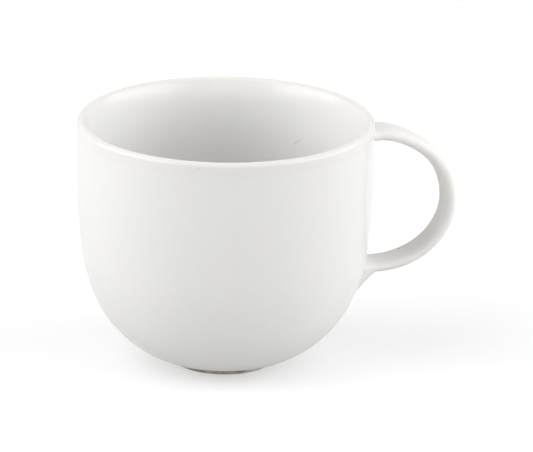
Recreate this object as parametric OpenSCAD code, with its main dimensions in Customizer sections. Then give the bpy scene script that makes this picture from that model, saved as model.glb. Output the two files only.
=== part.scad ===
// Porcelain cup with a strap handle and a small turned foot.
// Millimetres. The origin is on the cup's axis, on the plane the foot stands on.
// +Z is up through the rim, +X points out through the middle of the handle.
// Every piece is a body of turned or lofted clay, drawn where it sits on the cup.

/* [Cup] */

// Height from the table to the top of the rim
cup_h = 73.4; // [68:0.2:84]
// Outside diameter of the rim and of the straight upper wall
rim_d = 86; // [78:0.5:96]
// Thickness of the wall and of the floor
wall_t = 3.8; // [3.2:0.1:4.6]
// Thickness of the lip, which the wall thins to
lip_t = 2.6; // [2:0.1:3]
// Share of the straight upper wall's height over which it thins
thin_share = 0.8; // [0.5:0.05:1]

/* [Foot] */

// Outside diameter of the foot ring
foot_d = 31.4; // [27:0.2:37]
// Height of the foot ring below the bowl
foot_h = 2.1; // [1.6:0.1:2.8]
// Width of the foot ring from its outer wall to its inner wall
foot_w = 2.6; // [2:0.1:3.6]
// Rounding of the two edges the foot ring stands on
foot_round = 0.5; // [0.3:0.05:0.7]
// Ledge left between the foot ring and the start of the belly curve
foot_ledge = 0.3; // [0.1:0.05:0.6]

/* [Handle] */

// Distance from the wall out to the middle of the strap at its widest reach
handle_reach = 24.3; // [21:0.1:29]
// Drop from the rim to the middle of the upper root
upper_drop = 6.4; // [6:0.1:10]
// Height of the middle of the lower root above the table
lower_z = 26.2; // [23:0.1:30]
// Height of the widest reach, as a share of the way from lower to upper root
bow_share = 0.467; // [0.4:0.005:0.55]
// Width of the strap where it leaves the upper root
strap_w_top = 11; // [9:0.1:12.5]
// Width of the strap at its widest reach
strap_w_mid = 8.7; // [7.5:0.1:11]
// Width of the strap where it meets the lower root
strap_w_low = 11; // [9:0.1:12.5]
// Thickness of the strap where it leaves the upper root
strap_t_top = 3.7; // [3.2:0.1:4.6]
// Thickness of the strap at its widest reach
strap_t_mid = 4; // [3.2:0.1:4.8]
// Thickness of the strap where it meets the lower root
strap_t_low = 3.1; // [2.8:0.1:4.4]

/* [Roots and slip joints] */

// Distance from the wall over which the upper root spreads
upper_root = 2.5; // [2:0.1:4]
// Spread of the upper root to each side
upper_side = 1.2; // [0.8:0.1:2.5]
// Spread of the upper root upward and downward
upper_spread = 0.2; // [0.1:0.1:1]
// Distance from the wall over which the lower root spreads
lower_root = 4.7; // [3.8:0.1:6]
// Spread of the lower root to each side
lower_side = 4; // [2:0.1:5]
// Spread of the lower root upward, into the finger opening
lower_up = 1; // [0.5:0.1:2]
// Spread of the lower root downward, along the belly
lower_down = 10; // [6:0.1:11.5]
// Thickness of the slip that joins each root to the wall
slip_t = 0.5; // [0.3:0.05:0.8]

/* [Hidden] */

rim_r = rim_d / 2;
foot_r = foot_d / 2;
lip_r = lip_t / 2;

// The outer wall below the straight part is four curves, each tangent to the next.
// Slopes are degrees away from upright, radii are shares of the first curve's radius.
turn = [0, 6, 22.7, 58, 84];
curve_shares = [1, 0.268, 0.17, 0.106];
curves = len(curve_shares);

// The curves end beside the foot ring, at the height of the foot.
end_r = foot_r + foot_ledge;
end_z = foot_h;

function total(v, n) = n == 0 ? 0 : v[n - 1] + total(v, n - 1);
in_shares = [for (i = [0 : curves - 1]) curve_shares[i] * (cos(turn[i]) - cos(turn[i + 1]))];
down_shares = [for (i = [0 : curves - 1]) curve_shares[i] * (sin(turn[i + 1]) - sin(turn[i]))];
first_r = (rim_r - end_r) / total(in_shares, curves);
curve_top = end_z + first_r * total(down_shares, curves);

function curve_r(i) = first_r * curve_shares[i];
function start_r(i) = rim_r - first_r * total(in_shares, i);
function start_z(i) = curve_top - first_r * total(down_shares, i);
function centre_r(i) = start_r(i) - curve_r(i) * cos(turn[i]);
function centre_z(i) = start_z(i) + curve_r(i) * sin(turn[i]);

// Radius of the outer wall at a height, used to seat the handle's roots on it.
function curve_at(z, i = 0) = (i == curves - 1 || z >= start_z(i + 1)) ? i : curve_at(z, i + 1);
function curved_r(z, i) = centre_r(i) + sqrt(pow(curve_r(i), 2) - pow(centre_z(i) - z, 2));
function wall_r(z) = z >= curve_top ? rim_r : curved_r(z, curve_at(z));
function wall_x(y, z) = sqrt(pow(wall_r(z), 2) - pow(y, 2));

// Handle: two curves in the upright plane through the cup's axis, joined where
// the strap runs straight down at its widest reach.
upper_z = cup_h - upper_drop;
bow_z = lower_z + bow_share * (upper_z - lower_z);
path_top = [rim_r + upper_root, upper_z];
path_bow = [rim_r + handle_reach, bow_z];
path_low = [wall_r(lower_z) + lower_root, lower_z];
arm_shares = [0.28, 0.715, 0.475, 0.64];
arm_a = path_top + [arm_shares[0] * (path_bow[0] - path_top[0]), 0];
arm_b = path_bow + [0, arm_shares[1] * (path_top[1] - path_bow[1])];
arm_c = path_bow - [0, arm_shares[2] * (path_bow[1] - path_low[1])];
arm_d = path_low + [arm_shares[3] * (path_bow[0] - path_low[0]), 0];

function bend(p, q, r, s, t) =
    pow(1 - t, 3) * p + 3 * pow(1 - t, 2) * t * q + 3 * (1 - t) * t * t * r + pow(t, 3) * s;
function heading(p, q, r, s, t) =
    pow(1 - t, 2) * (q - p) + 2 * (1 - t) * t * (r - q) + t * t * (s - r);
function path_at(s) = s <= 0.5
    ? bend(path_top, arm_a, arm_b, path_bow, 2 * s)
    : bend(path_bow, arm_c, arm_d, path_low, 2 * s - 1);
function along(s) = s <= 0.5
    ? heading(path_top, arm_a, arm_b, path_bow, 2 * s)
    : heading(path_bow, arm_c, arm_d, path_low, 2 * s - 1);
function ease(a, b, t) = a + (b - a) * (1 - cos(180 * t)) / 2;
function three_way(a, b, c, s) = s <= 0.5 ? ease(a, b, 2 * s) : ease(b, c, 2 * s - 1);

// Section of the strap: two faces that are nearly flat, with round edges between them.
// A fullness of 2 is an ellipse's, and a higher one is flatter.
section_points = 28;
face_fullness = 4;
edge_fullness = 2;
function full(c, fullness) = sign(c) * pow(abs(c), 2 / fullness);
function section_turn(k) = 360 * k / section_points;
side_shares = [for (k = [0 : section_points - 1]) full(cos(section_turn(k)), face_fullness)];
out_shares = [for (k = [0 : section_points - 1]) full(sin(section_turn(k)), edge_fullness)];

function strap_ring(s) =
    let (
        mid = path_at(s),
        way = along(s) / norm(along(s)),
        half_w = three_way(strap_w_top, strap_w_mid, strap_w_low, s) / 2,
        half_t = three_way(strap_t_top, strap_t_mid, strap_t_low, s) / 2
    )
    [for (k = [0 : section_points - 1])
        [
            mid[0] - half_t * out_shares[k] * way[1],
            half_w * side_shares[k],
            mid[1] + half_t * out_shares[k] * way[0]
        ]
    ];

// A root spreads the strap's end ring over the wall. At share v of the way in, each
// point has moved v to a power along the wall and is left that much nearer to it.
upper_power = 1.5;
lower_power = 1.23;
side_power = 1.8;
top_ring = strap_ring(0);
low_ring = strap_ring(1);

function spread_point(p, mid_z, half_t, half_w, side, up, down, power, v) =
    let (
        high = (p[2] - mid_z) / half_t,
        z = p[2] + pow(v, power) * (high > 0 ? up : down) * high,
        y = p[1] + pow(v, side_power) * side * p[1] / half_w,
        off = pow(1 - v, power) * (p[0] - wall_x(p[1], p[2]))
    )
    [wall_x(y, z) + off, y, z];
function upper_point(k, v) = spread_point(
    top_ring[k], upper_z, strap_t_top / 2, strap_w_top / 2,
    upper_side, upper_spread, upper_spread, upper_power, v);
function lower_point(k, v) = spread_point(
    low_ring[k], lower_z, strap_t_low / 2, strap_w_low / 2,
    lower_side, lower_up, lower_down, lower_power, v);

// The slip begins where a root has come within the slip's thickness of the wall.
function start_v(p, power) = 1 - pow(slip_t / (p[0] - wall_x(p[1], p[2])), 1 / power);
root_rings = 7;
slip_rings = 2;
ring_order = [for (k = [0 : section_points - 1]) k];
function upper_ring(share) = [for (k = ring_order) upper_point(k, share * start_v(top_ring[k], upper_power))];
function lower_ring(share) = [for (k = ring_order) lower_point(k, share * start_v(low_ring[k], lower_power))];
function blend_v(v, share) = v + (1 - v) * share;
function upper_slip_ring(share) =
    [for (k = ring_order) upper_point(k, blend_v(start_v(top_ring[k], upper_power), share))];
function lower_slip_ring(share) =
    [for (k = ring_order) lower_point(k, blend_v(start_v(low_ring[k], lower_power), share))];

// Patches of a ring's inside, shrunk towards its middle and laid at a height off the wall.
patch_shares = [0.78, 0.56, 0.34, 0.14];
function laid(ring, mid_z, share, off) =
    [for (p = ring)
        let (y = share * p[1], z = mid_z + share * (p[2] - mid_z))
        [wall_x(y, z) + off, y, z]
    ];
function patch(ring, mid_z, off) = [for (share = patch_shares) laid(ring, mid_z, share, off)];

upper_mid = upper_z;
lower_mid = lower_z - (lower_down - lower_up) / 2;
patch_count = len(patch_shares);
function backward(v) = [for (i = [len(v) - 1 : -1 : 0]) v[i]];

upper_seat = upper_ring(1);
lower_seat = lower_ring(1);
upper_patch = patch(upper_seat, upper_mid, slip_t);
lower_patch = patch(lower_seat, lower_mid, slip_t);

// Joins a stack of equal rings into a closed skin. The last and first rings are filled.
module skin(rings) {
    n = section_points;
    last = (len(rings) - 1) * n;
    walls = [
        for (r = [0 : len(rings) - 2])
            for (k = [0 : n - 1])
                let (a = r * n + k, b = r * n + (k + 1) % n)
                    for (f = [[a, b + n, b], [a, a + n, b + n]]) f
    ];
    caps = [
        [for (k = [0 : n - 1]) k],
        [for (k = [n - 1 : -1 : 0]) last + k]
    ];
    points = [for (r = rings) for (p = r) p];
    polyhedron(points, concat(walls, caps), convexity = 8);
}

// Profile of the bowl: up the outer wall, round the lip, down the flare where the lip
// grows to the full wall, and down the inner wall. The inner wall is the outer one drawn
// in by the wall's thickness, and the floor is flat.
curve_steps = [3, 6, 12, 9];
lip_steps = 12;
flare_steps = 6;

function slope_point(i, slope, inset) = [
    centre_r(i) + (curve_r(i) - inset) * cos(slope),
    centre_z(i) - (curve_r(i) - inset) * sin(slope)
];
function slope_at(i, k) = turn[i] + (turn[i + 1] - turn[i]) * k / curve_steps[i];
function curve_points(inset) = [
    for (i = [0 : curves - 1])
        for (k = [i == 0 ? 0 : 1 : curve_steps[i]])
            slope_point(i, slope_at(i, k), inset)
];
// The lip's round edge runs into the flare's long curve, which leans lean degrees off
// upright where they meet and stands upright at its foot.
flare_h = thin_share * (cup_h - curve_top);
lean = 2 * atan((wall_t - lip_t) / (flare_h - lip_r));
flare_r = (flare_h - lip_r + lip_r * sin(lean)) / sin(lean);
lip_points = [
    for (k = [0 : lip_steps])
        let (a = (180 - lean) * k / lip_steps)
        [rim_r - lip_r + lip_r * cos(a), cup_h - lip_r + lip_r * sin(a)]
];
flare_points = [
    for (k = [1 : flare_steps])
        let (a = lean * (1 - k / flare_steps))
        [rim_r - wall_t + flare_r * (1 - cos(a)), cup_h - flare_h + flare_r * sin(a)]
];

module cup_body() {
    outer = backward(curve_points(0));
    inner = curve_points(wall_t);
    floor_z = inner[len(inner) - 1][1];
    color("#eceeeb")
        rotate_extrude($fn = 72)
            polygon(concat([[0, end_z]], outer, lip_points, flare_points, inner, [[0, floor_z]]));
}

module foot_ring() {
    color("#cfc8bd")
        rotate_extrude($fn = 72)
            translate([foot_r - foot_w, 0])
                union() {
                    translate([0, foot_round])
                        square([foot_w, foot_h - foot_round]);
                    translate([foot_round, 0])
                        square([foot_w - 2 * foot_round, foot_h]);
                    translate([foot_round, foot_round])
                        circle(r = foot_round, $fn = 20);
                    translate([foot_w - foot_round, foot_round])
                        circle(r = foot_round, $fn = 20);
                }
}

strap_rings = 40;

module handle() {
    color("#eceeeb")
        skin(concat(
            backward(upper_patch),
            [upper_seat],
            [for (i = [root_rings - 1 : -1 : 1]) upper_ring(i / root_rings)],
            [for (i = [0 : strap_rings]) strap_ring(i / strap_rings)],
            [for (i = [1 : root_rings - 1]) lower_ring(i / root_rings)],
            [lower_seat],
            lower_patch
        ));
}

// The slip's wall side rests on the wall. Its handle side is the handle's own seat.
module upper_slip_joint() {
    foot = upper_slip_ring(1);
    color("#e6e8e3")
        skin(concat(
            backward(patch(foot, upper_mid, 0)),
            [for (i = [slip_rings : -1 : 0]) upper_slip_ring(i / slip_rings)],
            upper_patch
        ));
}

module lower_slip_joint() {
    foot = lower_slip_ring(1);
    color("#e6e8e3")
        skin(concat(
            backward(lower_patch),
            [for (i = [0 : slip_rings]) lower_slip_ring(i / slip_rings)],
            patch(foot, lower_mid, 0)
        ));
}

cup_body();
foot_ring();
handle();
upper_slip_joint();
lower_slip_joint();
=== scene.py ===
from math import atan, copysign, cos, pi, radians, sin, sqrt

import bmesh
import bpy
from mathutils import Matrix, Vector


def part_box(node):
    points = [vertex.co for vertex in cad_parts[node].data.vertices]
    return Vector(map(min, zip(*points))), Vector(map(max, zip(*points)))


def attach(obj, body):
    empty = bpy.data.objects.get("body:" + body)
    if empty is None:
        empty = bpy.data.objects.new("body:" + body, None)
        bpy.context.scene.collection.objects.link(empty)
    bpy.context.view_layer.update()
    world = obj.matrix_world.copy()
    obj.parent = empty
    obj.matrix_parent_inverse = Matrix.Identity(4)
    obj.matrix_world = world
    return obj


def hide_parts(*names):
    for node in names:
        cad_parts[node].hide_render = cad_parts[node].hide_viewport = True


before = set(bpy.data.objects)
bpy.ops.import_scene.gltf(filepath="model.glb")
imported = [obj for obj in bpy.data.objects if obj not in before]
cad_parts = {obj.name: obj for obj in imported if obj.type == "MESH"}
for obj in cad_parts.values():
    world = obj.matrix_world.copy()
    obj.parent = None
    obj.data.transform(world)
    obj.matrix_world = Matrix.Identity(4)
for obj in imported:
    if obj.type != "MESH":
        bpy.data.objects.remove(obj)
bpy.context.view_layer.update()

mm = 0.001
print("frame loaded")


def hexColour(text, alpha=1.0):
    # sRGB hex to the linear values that shaders use
    values = [int(text[i:i + 2], 16) / 255 for i in (1, 3, 5)]
    linear = [v / 12.92 if v <= 0.04045 else ((v + 0.055) / 1.055) ** 2.4 for v in values]
    return (*linear, alpha)


def addNode(tree, kind, settings=None, inputs=None, links=None):
    # one node with its settings, its plain socket values and its incoming links
    node = tree.nodes.new(kind)
    for name, value in (settings or {}).items():
        setattr(node, name, value)
    for name, value in (inputs or {}).items():
        node.inputs[name].default_value = value
    for name, source in (links or {}).items():
        tree.links.new(source, node.inputs[name])
    return node


def emptyMaterial(name):
    material = bpy.data.materials.new(name)
    material.use_nodes = True
    material.node_tree.nodes.clear()
    return material, material.node_tree


# High-fired table porcelain, slip-cast and dipped in a clear feldspar glaze. The eye gets a
# faintly warm white, a gloss broken by fine orange peel, slow waves where the glaze ran, a
# slightly warmer lip with a warmer, darker patchy band under it, and fine grain.
glazeLook = {
    "white": "#e7e6e5",
    "cloud": "#e6e6e4",             # the white where the glaze lies thicker
    "cloudSize": 14.0,
    "cloudEdges": (0.35, 0.65),     # levels of the noise where one white turns into the other
    "lip": "#e4e1df",               # the clay showing through over the lip
    "lipFrom": 71.4,                # height where the lip's tone starts, in mm
    "lipTo": 73.2,
    "underLipTone": "#e2d9d4",              # a warmer, darker tone in a patchy band under the lip
    "underLipFrom": 68.5,
    "underLipTo": 73.0,
    "underLipPatch": 7.0,
    "underLipAmount": 0.35,
    "waveSize": 11.0,
    "waveDepth": 0.04,
    "peelSize": 0.6,
    "peelDepth": 0.005,
    "gloss": 0.65,
    "glossRoughness": 0.2,
    "ior": 1.5,
    "speckCell": 2.6,               # one dark speck for each block of glaze of this size
    "speckRadius": 0.1,
    "speckStrength": 0.16,
    "grain": "#dddcd9",             # unmelted grains in the glaze, just darker than it
    "grainSize": 0.45,
    "grainEdges": (0.5, 0.7),
    "grainAmount": 0.2,
}

# The same glaze on the strap, which is cast thin and holds less of it, so it is duller. Its
# white is painted lighter and warmer, a painted fill light and warm bounce light on the strap.
strapLookPaintedFill = {
    **glazeLook,
    # painted fill light: the lighter, warmer white and grain lift the strap's shaded faces
    "white": "#edebea",
    "cloud": "#edebe8",
    "grain": "#e4e2e0",
    "gloss": 0.2,
}

# Iron spots that fired brown, in mm on the cup. The eye gets a short streak inside by the handle,
# a dark pinhole on the handle and a few faint ones.
ironSpots = {
    "colour": "#66553f",
    "fade": (0.5, 1.5),             # shares of a spot's radius between which it fades out
    "spots": [
        {"from": (26.9, 28.4, 54.9), "to": (28.5, 26.9, 56.7), "radius": 0.12, "strength": 0.3},
        {"from": (53.4, 2.6, 29.2), "radius": 0.22, "strength": 1.0},
        {"from": (51.7, -1.3, 28.7), "radius": 0.2, "strength": 0.3},
        {"from": (1.3, -35.8, 16.1), "radius": 0.18, "strength": 0.3},
        {"from": (-16.3, -39.8, 71.8), "radius": 0.18, "strength": 0.25},
    ],
}


def noise(tree, place, size, detail=2.0):
    # a soft noise with lumps of about this size, in mm
    return addNode(tree, "ShaderNodeTexNoise", inputs={"Scale": 1 / (size * mm), "Detail": detail},
                   links={"Vector": place}).outputs["Fac"]


def ramp(tree, value, start, end, low=0.0, high=1.0, smooth=False):
    # low up to start, high from end on, and a straight or a smooth run between them
    return addNode(tree, "ShaderNodeMapRange",
                   {"interpolation_type": "SMOOTHSTEP" if smooth else "LINEAR"},
                   {"From Min": start, "From Max": end, "To Min": low, "To Max": high},
                   {"Value": value}).outputs["Result"]


def mixed(tree, factor, first, second):
    # second over first; first is a hex colour or another node's output
    inputs, links = {"B": hexColour(second)}, {"Factor": factor}
    if isinstance(first, str):
        inputs["A"] = hexColour(first)
    else:
        links["A"] = first
    return addNode(tree, "ShaderNodeMix", {"data_type": "RGBA"}, inputs, links).outputs["Result"]


def maths(tree, operation, first, second):
    return addNode(tree, "ShaderNodeMath", {"operation": operation},
                   links={0: first, 1: second}).outputs[0]


def relief(tree, height, depth, strength=1.0, under=None):
    # a relief of this depth in mm, laid over the one under it
    links = {"Height": height}
    if under:
        links["Normal"] = under
    return addNode(tree, "ShaderNodeBump", inputs={"Strength": strength, "Distance": depth * mm},
                   links=links).outputs["Normal"]


def spotMask(tree, place):
    # the strength inside a speck or spot, 0 elsewhere; a spot with a second end is a streak
    inner, outer = ironSpots["fade"]
    cells = addNode(tree, "ShaderNodeTexVoronoi",
                    inputs={"Scale": 1 / (glazeLook["speckCell"] * mm)}, links={"Vector": place})
    speck = glazeLook["speckRadius"] / glazeLook["speckCell"]
    total = ramp(tree, cells.outputs["Distance"], inner * speck, outer * speck,
                 glazeLook["speckStrength"], 0.0, smooth=True)
    for spot in ironSpots["spots"]:
        start = Vector(spot["from"]) * mm
        streak = Vector(spot.get("to", spot["from"])) * mm - start
        reach = spot["radius"] * mm
        offset = addNode(tree, "ShaderNodeVectorMath", {"operation": "SUBTRACT"},
                         {1: start}, {0: place}).outputs["Vector"]
        run = addNode(tree, "ShaderNodeVectorMath", {"operation": "DOT_PRODUCT"},
                      {1: streak.normalized()}, {0: offset}).outputs["Value"]
        held = addNode(tree, "ShaderNodeClamp", inputs={"Max": streak.length},
                       links={"Value": run}).outputs["Result"]
        nearest = addNode(tree, "ShaderNodeVectorMath", {"operation": "SCALE"},
                          {0: streak.normalized()}, {"Scale": held}).outputs["Vector"]
        away = addNode(tree, "ShaderNodeVectorMath", {"operation": "DISTANCE"},
                       links={0: offset, 1: nearest}).outputs["Value"]
        mark = ramp(tree, away, inner * reach, outer * reach, spot["strength"], 0.0, smooth=True)
        total = maths(tree, "MAXIMUM", total, mark)
    return total


def glazedPorcelain(name, look):
    material, tree = emptyMaterial(name)
    place = addNode(tree, "ShaderNodeTexCoord").outputs["Object"]

    cloudy = ramp(tree, noise(tree, place, look["cloudSize"]), *look["cloudEdges"])
    clouded = mixed(tree, cloudy, look["white"], look["cloud"])
    grains = noise(tree, place, look["grainSize"], detail=1.0)
    grainy = ramp(tree, grains, *look["grainEdges"], high=look["grainAmount"])
    white = mixed(tree, grainy, clouded, look["grain"])

    # the glaze draws thin over the lip; under it lies a warmer, darker patchy band, inside and out
    height = addNode(tree, "ShaderNodeSeparateXYZ", links={"Vector": place}).outputs["Z"]
    atLip = ramp(tree, height, look["lipFrom"] * mm, look["lipTo"] * mm, smooth=True)
    lipped = mixed(tree, atLip, white, look["lip"])
    low, high = look["underLipFrom"] * mm, look["underLipTo"] * mm
    middle = (low + high) / 2
    rising = ramp(tree, height, low, middle, smooth=True)
    falling = ramp(tree, height, middle, high, look["underLipAmount"], 0.0, smooth=True)
    band = maths(tree, "MULTIPLY", rising, falling)
    patchy = maths(tree, "MULTIPLY", band, noise(tree, place, look["underLipPatch"]))
    underLipToned = mixed(tree, patchy, lipped, look["underLipTone"])
    colour = mixed(tree, spotMask(tree, place), underLipToned, ironSpots["colour"])

    # slow waves where the glaze ran, under a fine orange peel
    waves = relief(tree, noise(tree, place, look["waveSize"], detail=1.0), look["waveDepth"])
    peel = relief(tree, noise(tree, place, look["peelSize"]), look["peelDepth"], under=waves)

    shader = addNode(tree, "ShaderNodeBsdfPrincipled",
                     inputs={"Specular IOR Level": 0.0, "Coat Weight": look["gloss"],
                             "Coat IOR": look["ior"], "Coat Roughness": look["glossRoughness"]},
                     links={"Base Color": colour, "Normal": peel, "Coat Normal": peel})
    addNode(tree, "ShaderNodeOutputMaterial", links={"Surface": shader.outputs["BSDF"]})
    return material


# The same porcelain wiped bare of glaze before firing. The eye gets a matt, warmer grey-brown
# edge with table dirt in its grit, under a thin wavering line where the glaze stops.
bareLook = {
    "clay": "#d2cac0",
    "dirt": "#a39a8f",
    "dirtSize": 4.0,
    "dirtEdges": (0.35, 0.65),      # levels of the noise where clean clay turns into dirty
    "glaze": "#dedcd8",
    "glazeLine": 1.45,              # height of the glaze's edge, in mm
    "lineSoftness": 0.1,
    "waver": 0.5,
    "waverSize": 5.0,
    "gritSize": 0.25,
    "gritDepth": 0.03,
    "gritStrength": 0.5,
    "gritLevel": 0.5,               # the level the grit's noise is held at under the glaze
    "matt": 0.78,                   # roughness of the bare clay
    "gloss": 0.15,                  # and of the glaze
    "ior": 1.5,
}


def barePorcelain():
    look = bareLook
    material, tree = emptyMaterial("barePorcelain")
    place = addNode(tree, "ShaderNodeTexCoord").outputs["Object"]
    stained = ramp(tree, noise(tree, place, look["dirtSize"], detail=3.0), *look["dirtEdges"])
    clay = mixed(tree, stained, look["clay"], look["dirt"])

    height = addNode(tree, "ShaderNodeSeparateXYZ", links={"Vector": place}).outputs["Z"]
    waver = noise(tree, place, look["waverSize"], detail=1.0)
    wavered = addNode(tree, "ShaderNodeMath", {"operation": "MULTIPLY_ADD"},
                      {1: look["waver"] * mm}, {0: waver, 2: height}).outputs[0]
    edge, soft = (look["glazeLine"] + look["waver"] / 2) * mm, look["lineSoftness"] * mm
    glazed = ramp(tree, wavered, edge - soft, edge + soft, smooth=True)
    colour = mixed(tree, glazed, clay, look["glaze"])
    roughness = ramp(tree, glazed, 0.0, 1.0, look["matt"], look["gloss"])

    # the grit is as fine as ground clay and stops under the glaze
    grit = addNode(tree, "ShaderNodeMix", {"data_type": "FLOAT"}, {"B": look["gritLevel"]},
                   {"Factor": glazed, "A": noise(tree, place, look["gritSize"])}).outputs["Result"]
    bump = relief(tree, grit, look["gritDepth"], look["gritStrength"])
    shader = addNode(tree, "ShaderNodeBsdfPrincipled", inputs={"IOR": look["ior"]},
                     links={"Base Color": colour, "Roughness": roughness, "Normal": bump})
    addNode(tree, "ShaderNodeOutputMaterial", links={"Surface": shader.outputs["BSDF"]})
    return material


glaze = glazedPorcelain("glazedPorcelain", glazeLook)
# the handle and slip joints take the strap's glaze with its painted fill light
strapGlazePaintedFill = glazedPorcelain("glazedStrapPaintedFill", strapLookPaintedFill)
bare = barePorcelain()
finishes = {"cup_body": glaze, "foot_ring": bare}
for name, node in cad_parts.items():
    node.data.materials.clear()
    node.data.materials.append(finishes.get(name, strapGlazePaintedFill))
print("materials ready")


def meshPiece(name, bm, material, replaced):
    # turns a bmesh into a piece of the cup that stands for a CAD node
    bmesh.ops.recalc_face_normals(bm, faces=bm.faces)
    mesh = bpy.data.meshes.new(name)
    bm.to_mesh(mesh)
    bm.free()
    mesh.shade_smooth()
    piece = bpy.data.objects.new(name, mesh)
    bpy.context.scene.collection.objects.link(piece)
    mesh.materials.append(material)
    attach(piece, "root")
    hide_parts(replaced)
    return piece


poleRadius = 1e-6   # mm; an outline point nearer to the axis is a pole


def spin(outline, segments, closed=False):
    # a lathe: outline points (r, z) in mm, swept round the axis
    bm = bmesh.new()
    rings = []
    for r, z in outline:
        count = 1 if r < poleRadius else segments
        turns = [2 * pi * k / segments for k in range(count)]
        rings.append([bm.verts.new((r * mm * cos(t), r * mm * sin(t), z * mm)) for t in turns])
    pairs = list(zip(rings, rings[1:])) + ([(rings[-1], rings[0])] if closed else [])
    for a, b in pairs:
        for k in range(segments):
            n = (k + 1) % segments
            corners = [a[k % len(a)], a[n % len(a)], b[n % len(b)], b[k % len(b)]]
            corners = list(dict.fromkeys(corners))
            if len(corners) > 2:
                bm.faces.new(corners)
    return bm


def spread(a, b, count):
    # points between two outline points, the first left out
    return [(a[0] + (b[0] - a[0]) * k / count, a[1] + (b[1] - a[1]) * k / count)
            for k in range(1, count + 1)]


def arc(centre, radius, start, end, count):
    # points round a centre, angles in radians, the first left out
    angles = [start + (end - start) * k / count for k in range(1, count + 1)]
    return [(centre[0] + radius * cos(a), centre[1] + radius * sin(a)) for a in angles]


# foot ring: turned on the bowl's own clay, its two standing edges rounded with a sponge
footShape = {
    "radius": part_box("foot_ring")[1][1] / mm,
    "height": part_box("foot_ring")[1][2] / mm,
    "width": 2.6,
    "round": 0.5,
    "ledge": 0.3,                   # between the ring and the start of the belly's curve
    "segments": 192,
    "flatSteps": 6,
    "roundSteps": 8,
    "topSteps": 5,
}


def footOutline():
    r, width, top, edge = (footShape[k] for k in ("radius", "width", "height", "round"))
    flat, rounded = footShape["flatSteps"], footShape["roundSteps"]
    inner = r - width
    points = [(r, top)] + spread((r, top), (r, edge), flat)
    points += arc((r - edge, edge), edge, 0, -pi / 2, rounded)
    points += spread(points[-1], (inner + edge, 0), flat)
    points += arc((inner + edge, edge), edge, -pi / 2, -pi, rounded)
    points += spread(points[-1], (inner, top), flat)
    points += spread(points[-1], (r, top), footShape["topSteps"])[:-1]
    return points


turnedFoot = meshPiece("turnedFoot", spin(footOutline(), footShape["segments"], closed=True), bare,
                       "foot_ring")
print("foot turned")

# bowl: an upright wall, then four curves, each tangent to the next, down to the foot
bowlShape = {
    "height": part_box("cup_body")[1][2] / mm,
    "rimRadius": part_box("cup_body")[1][1] / mm,
    "wall": 3.8,
    "lip": 2.6,                                # thickness of the lip, which the wall thins to
    "thinShare": 0.4,                          # of the upright wall's height
    "slopes": [0, 6, 22.7, 58, 84],            # degrees off upright where curves meet
    "curveShares": [1, 0.268, 0.17, 0.106],    # radii as shares of the first curve's
    "segments": 288,
    "curveStep": 1.0,                          # degrees of a curve for each point of the outline
    "leastSteps": 3,                           # points of a curve at least
    "steps": {"underside": 14, "upright": 12, "lip": 22, "flare": 24, "inside": 4, "heel": 6,
              "floor": 14},
}


def bowlCurves():
    # radius, centre and start of each curve from the upright wall down to the foot
    slopes = [radians(s) for s in bowlShape["slopes"]]
    shares = bowlShape["curveShares"]
    runs = list(zip(shares, slopes, slopes[1:]))
    inward = sum(k * (cos(a) - cos(b)) for k, a, b in runs)
    drop = sum(k * (sin(b) - sin(a)) for k, a, b in runs)
    first = (bowlShape["rimRadius"] - footShape["radius"] - footShape["ledge"]) / inward
    r, z = bowlShape["rimRadius"], footShape["height"] + first * drop
    found = []
    for share, a, b in runs:
        radius = share * first
        centre = (r - radius * cos(a), z + radius * sin(a))
        found.append({"radius": radius, "centre": centre, "top": z, "from": a, "to": b})
        r, z = centre[0] + radius * cos(b), centre[1] - radius * sin(b)
    return found


curves = bowlCurves()


def wallRadius(z):
    if z >= curves[0]["top"]:
        return bowlShape["rimRadius"]
    at = [c for c in curves if z <= c["top"]][-1]
    return at["centre"][0] + sqrt(at["radius"] ** 2 - (at["centre"][1] - z) ** 2)


def wallAt(y, z):
    # how far out the wall is along +X, at a place beside the axis
    return sqrt(wallRadius(z) ** 2 - y ** 2)


def sidePoints(inset):
    # the curved side from the top down, drawn in by inset
    top = curves[0]
    points = [(top["centre"][0] + top["radius"] - inset, top["top"])]
    for curve in curves:
        start, end = curve["from"], curve["to"]
        wanted = round((end - start) / radians(bowlShape["curveStep"]))
        count = max(bowlShape["leastSteps"], wanted)
        points += arc(curve["centre"], curve["radius"] - inset, -start, -end, count)
    return points


def bowlOutline():
    wall, height, rim, lipWidth = (bowlShape[k] for k in ("wall", "height", "rimRadius", "lip"))
    steps, lip = bowlShape["steps"], lipWidth / 2
    outer, inner = sidePoints(0), sidePoints(wall)
    # inside, the last curve runs on until it is level with the floor
    heel = curves[-1]
    inner += arc(heel["centre"], heel["radius"] - wall, -heel["to"], -pi / 2, steps["heel"])
    # the lip's round edge runs into a long curve that ends upright where the wall is full
    flare = bowlShape["thinShare"] * (height - curves[0]["top"])
    lean = 2 * atan((wall - lipWidth) / (flare - lip))
    flareRadius = (flare - lip + lip * sin(lean)) / sin(lean)
    flareCentre = (rim - wall + flareRadius, height - flare)
    points = [(0, footShape["height"])]
    points += spread(points[0], outer[-1], steps["underside"])
    points += outer[-2::-1]
    points += spread(outer[0], (rim, height - lip), steps["upright"])
    points += arc((rim - lip, height - lip), lip, 0, pi - lean, steps["lip"])
    points += arc(flareCentre, flareRadius, pi - lean, pi, steps["flare"])
    points += spread(points[-1], inner[0], steps["inside"])
    points += inner[1:]
    points += spread(inner[-1], (0, inner[-1][1]), steps["floor"])
    return points


cupBowl = meshPiece("cupBowl", spin(bowlOutline(), bowlShape["segments"]), glaze,
                    "cup_body")
print("bowl turned")

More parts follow.
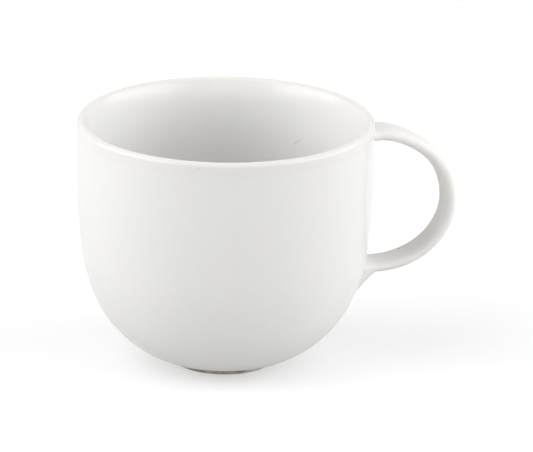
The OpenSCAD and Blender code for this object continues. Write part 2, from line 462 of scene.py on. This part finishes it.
# handle: a strap cast in its own mould, its two faces nearly flat and its edges round
strapShape = {
    "reach": 24.3,
    "upperDrop": 6.4,
    "lowerHeight": 26.2,
    "bowShare": 0.467,                         # height of the bow between the two roots
    "widths": [11.0, 8.7, 11.0],               # at the upper root, the bow and the lower root
    "thicknesses": [3.7, 4.0, 3.1],
    "armShares": [0.28, 0.715, 0.475, 0.64],   # arms of the path's two Bezier curves
    "faceFullness": 4,                         # 2 is an ellipse, more is flatter
    "edgeFullness": 2,
    "stations": 120,
    "around": 72,
}
upperHeight = bowlShape["height"] - strapShape["upperDrop"]
lowerHeight = strapShape["lowerHeight"]

# The strap's ends spread over the wall and are stuck on with slip. Length is how far off the
# wall an end starts to spread, and side, up and down say how far it gets. A higher power brings
# it to the wall sooner, and a higher drop power or side power holds back the spread.
rootShape = {
    "upper": {"length": 2.5, "side": 0.6, "up": 0.2, "down": 0.2,
              "power": 1.5, "dropPower": 1.5},
    "lower": {"length": 4.7, "side": 0.8, "up": 1.0, "down": 11.5,
              "power": 1.2, "dropPower": 1.15},
    "sidePower": 1.3,
    "slip": 0.5,
    "rings": 28,
    "slipRings": 8,
}


def bezier(p, q, r, s, t):
    return [(1 - t) ** 3 * a + 3 * (1 - t) ** 2 * t * b + 3 * (1 - t) * t * t * c + t ** 3 * d
            for a, b, c, d in zip(p, q, r, s)]


def bezierWay(p, q, r, s, t):
    way = [(1 - t) ** 2 * (b - a) + 2 * (1 - t) * t * (c - b) + t * t * (d - c)
           for a, b, c, d in zip(p, q, r, s)]
    size = sqrt(way[0] ** 2 + way[1] ** 2)
    return way[0] / size, way[1] / size


def strapPath():
    rim = bowlShape["rimRadius"]
    top = (rim + rootShape["upper"]["length"], upperHeight)
    rise = upperHeight - lowerHeight
    bow = (rim + strapShape["reach"], lowerHeight + strapShape["bowShare"] * rise)
    low = (wallRadius(lowerHeight) + rootShape["lower"]["length"], lowerHeight)
    arm = strapShape["armShares"]
    return (top, (top[0] + arm[0] * (bow[0] - top[0]), top[1]),
            (bow[0], bow[1] + arm[1] * (top[1] - bow[1])), bow,
            (bow[0], bow[1] - arm[2] * (bow[1] - low[1])),
            (low[0] + arm[3] * (bow[0] - low[0]), low[1]), low)


def eased(values, s):
    a, b, t = (values[0], values[1], 2 * s) if s <= 0.5 else (values[1], values[2], 2 * s - 1)
    return a + (b - a) * (1 - cos(pi * t)) / 2


def fuller(c, fullness):
    return copysign(abs(c) ** (2 / fullness), c)


def strapRing(s):
    path = strapPath()
    part, t = (path[:4], 2 * s) if s <= 0.5 else (path[3:], 2 * s - 1)
    mid, way = bezier(*part, t), bezierWay(*part, t)
    halfWidth = eased(strapShape["widths"], s) / 2
    halfThick = eased(strapShape["thicknesses"], s) / 2
    ring = []
    for k in range(strapShape["around"]):
        a = 2 * pi * k / strapShape["around"]
        side = halfWidth * fuller(cos(a), strapShape["faceFullness"])
        out = halfThick * fuller(sin(a), strapShape["edgeFullness"])
        ring.append((mid[0] - out * way[1], side, mid[1] + out * way[0]))
    return ring


ends = {
    name: {"ring": strapRing(at), "height": height, **rootShape[name],
           "halfThick": strapShape["thicknesses"][at * 2] / 2,
           "halfWidth": strapShape["widths"][at * 2] / 2}
    for name, at, height in (("upper", 0, upperHeight), ("lower", 1, lowerHeight))
}


def slipStart(end):
    # the share at which each point has come within the slip's thickness of the wall
    slip, power = rootShape["slip"], end["power"]
    return [1 - (slip / (x - wallAt(y, z))) ** (1 / power) for x, y, z in end["ring"]]


def rootRing(end, shares):
    # the strap's end ring spread over the wall; shares holds how far in each point is
    points = []
    for (x, y, z), v in zip(end["ring"], shares):
        high = (z - end["height"]) / end["halfThick"]
        newZ = z + v ** end["dropPower"] * (end["up"] if high > 0 else end["down"]) * high
        newY = y + v ** rootShape["sidePower"] * end["side"] * y / end["halfWidth"]
        off = (1 - v) ** end["power"] * (x - wallAt(y, z))
        points.append((wallAt(newY, newZ) + off, newY, newZ))
    return points


def rootAt(name, share):
    return rootRing(ends[name], [share * v for v in slipStart(ends[name])])


def slipAt(name, share):
    return rootRing(ends[name], [v + (1 - v) * share for v in slipStart(ends[name])])


def skin(rings):
    # a closed skin over a stack of equal rings, its two ends filled and left crisp
    bm = bmesh.new()
    rows = [[bm.verts.new((x * mm, y * mm, z * mm)) for x, y, z in ring] for ring in rings]
    n = len(rows[0])
    for a, b in zip(rows, rows[1:]):
        for k in range(n):
            bm.faces.new((a[k], a[(k + 1) % n], b[(k + 1) % n], b[k]))
    for row in (rows[0], rows[-1]):
        bm.faces.new(row)
        for k in range(n):
            bm.edges.get((row[k], row[(k + 1) % n])).smooth = False
    return bm


count, stations = rootShape["rings"], strapShape["stations"]
strap = [rootAt("upper", i / count) for i in range(count, 0, -1)]
strap += [strapRing(i / stations) for i in range(stations + 1)]
strap += [rootAt("lower", i / count) for i in range(1, count + 1)]
strapHandle = meshPiece("strapHandle", skin(strap), strapGlazePaintedFill, "handle")
print("handle drawn")

layers = [i / rootShape["slipRings"] for i in range(rootShape["slipRings"] + 1)]
upperSlip = meshPiece("upperSlip", skin([slipAt("upper", s) for s in layers[::-1]]), strapGlazePaintedFill,
                      "upper_slip_joint")
lowerSlip = meshPiece("lowerSlip", skin([slipAt("lower", s) for s in layers]), strapGlazePaintedFill,
                      "lower_slip_joint")
print("slip joints laid")

# the photograph's camera, worked out from the rim, wall, foot and handle outlines;
# lengths are in mm and angles in degrees
photoView = {
    "handleTurn": 13.0,             # how far the handle points away from the picture plane
    "distance": 1000.0,
    "pitch": 19.085,
    "focalPixels": 3424.0,
    "offset": (-12.167, -3.789),    # the cup's axis from the picture's middle, right and up
    "roll": 0.914,
    "aimHeight": 36.663,
    "pixels": (533, 452),
    "sensor": 36.0,
}


def pickup():
    pitch, roll, turn = (radians(photoView[k]) for k in ("pitch", "roll", "handleTurn"))
    forward, right = Vector((0, cos(pitch), -sin(pitch))), Vector((1, 0, 0))
    up = Vector((0, sin(pitch), cos(pitch)))
    offsetRight, offsetUp = photoView["offset"]
    aim = Vector((0, 0, photoView["aimHeight"])) - offsetRight * right - offsetUp * up
    place = aim - photoView["distance"] * forward
    rolledRight, rolledUp = cos(roll) * right + sin(roll) * up, cos(roll) * up - sin(roll) * right
    basis = Matrix((rolledRight, rolledUp, -forward))
    data = bpy.data.cameras.new("camera")
    data.sensor_fit = "HORIZONTAL"
    data.sensor_width = photoView["sensor"]
    data.lens = photoView["focalPixels"] * photoView["sensor"] / photoView["pixels"][0]
    camera = bpy.data.objects.new("camera", data)
    bpy.context.scene.collection.objects.link(camera)
    camera.matrix_world = (Matrix.Rotation(-turn, 4, "Z") @ Matrix.Translation(place * mm)
                           @ basis.transposed().to_4x4())
    bpy.context.scene.camera = camera


pickup()

# a product table between two long soft boxes, with weaker ones above, behind and in front;
# lengths are in mm
studio = {
    "worldStrength": 0.15,
    "floorColour": "#cccccc",
    "floorSize": 8000.0,
    "floorGap": 0.02,               # keeps the paper clear of the face the cup stands on
    "floorLift": 0.43,              # how much white is added to the floor where it is looked at
    "panelDistance": 1000.0,
    "aimHeight": 40.0,
    "panels": [
        # degrees to the right of the camera's side and above the table, size, watts
        {"name": "leftSide", "turn": -75, "rise": 22, "size": (1250, 420), "power": 7.2},
        {"name": "rightSide", "turn": 83, "rise": 21, "size": (1400, 440), "power": 8.1},
        {"name": "leftHigh", "turn": -75, "rise": 52, "size": (1250, 600), "power": 3.6},
        {"name": "rightHigh", "turn": 82, "rise": 50, "size": (1250, 600), "power": 2.0},
        {"name": "overhead", "turn": 0, "rise": 90, "size": (800, 800), "power": 1.0},
        {"name": "behind", "turn": 180, "rise": 30, "size": (1200, 500), "power": 1.1},
        {"name": "front", "turn": 8, "rise": 14, "size": (900, 400), "power": 1.4},
    ],
}


def lookedAt(tree):
    # 1 for rays from the camera and for what gloss or glass shows it, 0 for light
    path = addNode(tree, "ShaderNodeLightPath")
    seen = maths(tree, "MAXIMUM", path.outputs["Is Camera Ray"], path.outputs["Is Glossy Ray"])
    return maths(tree, "MAXIMUM", seen, path.outputs["Is Transmission Ray"])


def paperFloor():
    material, tree = emptyMaterial("paperFloor")
    paper = addNode(tree, "ShaderNodeBsdfDiffuse",
                    inputs={"Color": hexColour(studio["floorColour"])})
    lift = addNode(tree, "ShaderNodeMath", {"operation": "MULTIPLY"}, {1: studio["floorLift"]},
                   {0: lookedAt(tree)})
    glow = addNode(tree, "ShaderNodeEmission", links={"Strength": lift.outputs[0]})
    both = addNode(tree, "ShaderNodeAddShader", links={0: paper.outputs[0], 1: glow.outputs[0]})
    addNode(tree, "ShaderNodeOutputMaterial", links={"Surface": both.outputs[0]})
    half, level = studio["floorSize"] / 2 * mm, -studio["floorGap"] * mm
    corners = ((-half, -half), (half, -half), (half, half), (-half, half))
    bm = bmesh.new()
    bm.faces.new([bm.verts.new((x, y, level)) for x, y in corners])
    mesh = bpy.data.meshes.new("paperFloor")
    bm.to_mesh(mesh)
    bm.free()
    mesh.materials.append(material)
    floor = bpy.data.objects.new("paperFloor", mesh)
    bpy.context.scene.collection.objects.link(floor)


def softPanels():
    camera = Matrix.Rotation(-radians(photoView["handleTurn"]), 4, "Z")
    aim = Vector((0, 0, studio["aimHeight"])) * mm
    for panel in studio["panels"]:
        data = bpy.data.lights.new(panel["name"], "AREA")
        data.shape = "RECTANGLE"
        data.size, data.size_y = (side * mm for side in panel["size"])
        data.energy = panel["power"]
        lamp = bpy.data.objects.new(panel["name"], data)
        bpy.context.scene.collection.objects.link(lamp)
        turn, rise = radians(panel["turn"]), radians(panel["rise"])
        away = Vector((sin(turn) * cos(rise), -cos(turn) * cos(rise), sin(rise)))
        facing = away.to_track_quat("Z", "Y").to_matrix().to_4x4()
        place = Matrix.Translation(aim + studio["panelDistance"] * mm * away)
        lamp.matrix_world = camera @ place @ facing


def whiteRoom():
    world = bpy.data.worlds.new("whiteRoom")
    bpy.context.scene.world = world
    world.use_nodes = True
    tree = world.node_tree
    tree.nodes.clear()
    strength = ramp(tree, lookedAt(tree), 0.0, 1.0, studio["worldStrength"], 1.0)
    sky = addNode(tree, "ShaderNodeBackground", inputs={"Color": hexColour("#ffffff")},
                  links={"Strength": strength})
    addNode(tree, "ShaderNodeOutputWorld", links={"Surface": sky.outputs[0]})


paperFloor()
softPanels()
whiteRoom()
bpy.context.scene.view_settings.view_transform = "Standard"
print("studio set")
